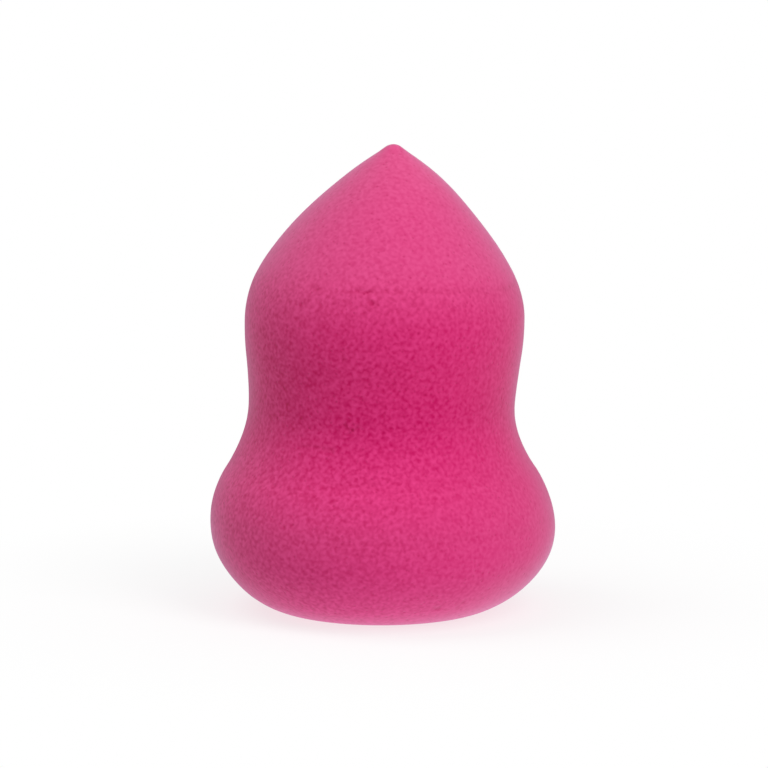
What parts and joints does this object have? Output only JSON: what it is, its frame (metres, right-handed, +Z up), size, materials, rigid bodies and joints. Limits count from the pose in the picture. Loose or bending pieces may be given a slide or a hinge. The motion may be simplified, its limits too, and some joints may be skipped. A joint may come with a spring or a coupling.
{
  "type": "makeup sponge",
  "caption": "Gourd-shaped blending sponge of soft pink foam: a pointed cone over a drawn-in waist and a round, bulging base that stands on a small flat foot.",
  "frame": {"origin": "centre of the flat foot, on the surface that the sponge stands on", "axes": "+Z up the axis of the turned form to the tip; the form is the same all round, and -Y is the side that the picture shows"},
  "size_m": [0.0443, 0.0442, 0.06],
  "materials": {
    "pink_foam": "matte, velvety skinless surface of fine open-cell foam, dyed pink right through"
  },
  "bodies": {
    "root": {"foam_body": "pink_foam"}
  },
  "joints": []
}
